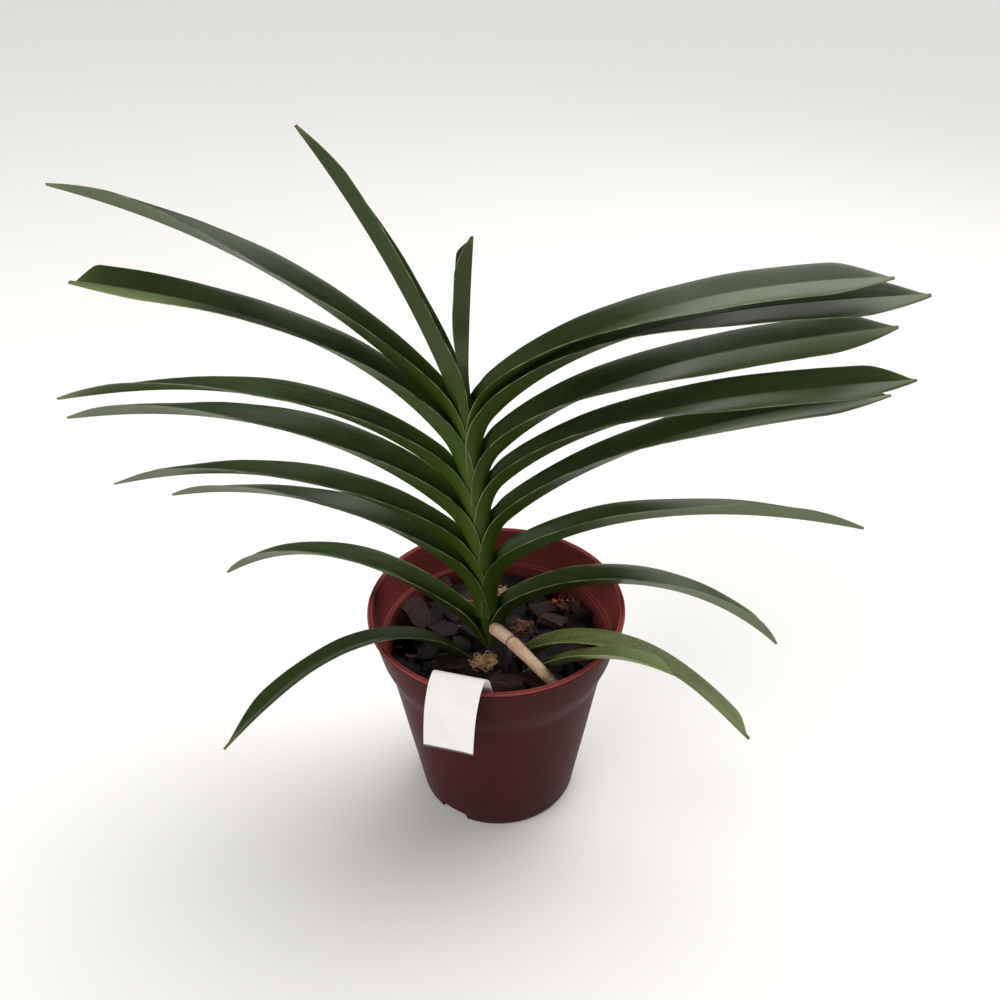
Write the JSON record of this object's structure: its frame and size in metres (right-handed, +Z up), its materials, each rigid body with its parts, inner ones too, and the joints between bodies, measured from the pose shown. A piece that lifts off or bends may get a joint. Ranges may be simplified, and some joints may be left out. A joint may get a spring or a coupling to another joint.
{
  "type": "potted papilionanda orchid",
  "caption": "Young strap-leaved orchid with a two-ranked fan of folded leaves and an aerial root, in a tapered nursery pot of bark with a blank plant label over the rim.",
  "frame": {"origin": "middle of the pot's flat underside, on the surface the pot stands on", "axes": "+Z up the pot and the stem, X along the two-ranked fan of leaves, -Y towards the side that the picture shows"},
  "size_m": [0.4177, 0.159, 0.3537],
  "materials": {
    "pot": "dark terracotta-brown polypropylene, satin, faintly scuffed",
    "bark": "damp dark conifer bark chunks",
    "stem": "living green stem wrapped in leaf sheaths, satin",
    "leaf": "deep green leathery leaf with a grey sky sheen",
    "old_leaf": "older paler leaf with scars and a dull surface",
    "root": "beige corky root skin with brown patches",
    "fibre": "dry curled husk fibre",
    "label": "blank white plastic strip"
  },
  "bodies": {
    "root": {"pot": "pot", "bark_bed": "bark", "stem": "stem", "leaf_left_1": "leaf", "leaf_left_2": "leaf", "leaf_left_3": "leaf", "leaf_left_4": "leaf", "leaf_left_5": "leaf", "leaf_left_6": "leaf", "leaf_left_7": "leaf", "leaf_left_8": "leaf", "leaf_left_9": "leaf", "leaf_right_1": "old_leaf", "leaf_right_2": "old_leaf", "leaf_right_3": "leaf", "leaf_right_4": "leaf", "leaf_right_5": "leaf", "leaf_right_6": "leaf", "leaf_right_7": "leaf", "leaf_right_8": "leaf", "leaf_right_9": "leaf", "leaf_right_10": "leaf", "aerial_root": "root", "buried_roots": "root", "fibre_tuft_gold": "fibre", "fibre_tuft_curly": "fibre", "fibre_tuft_back": "fibre", "fibre_tuft_splinter": "fibre", "plant_label": "label"}
  },
  "joints": []
}
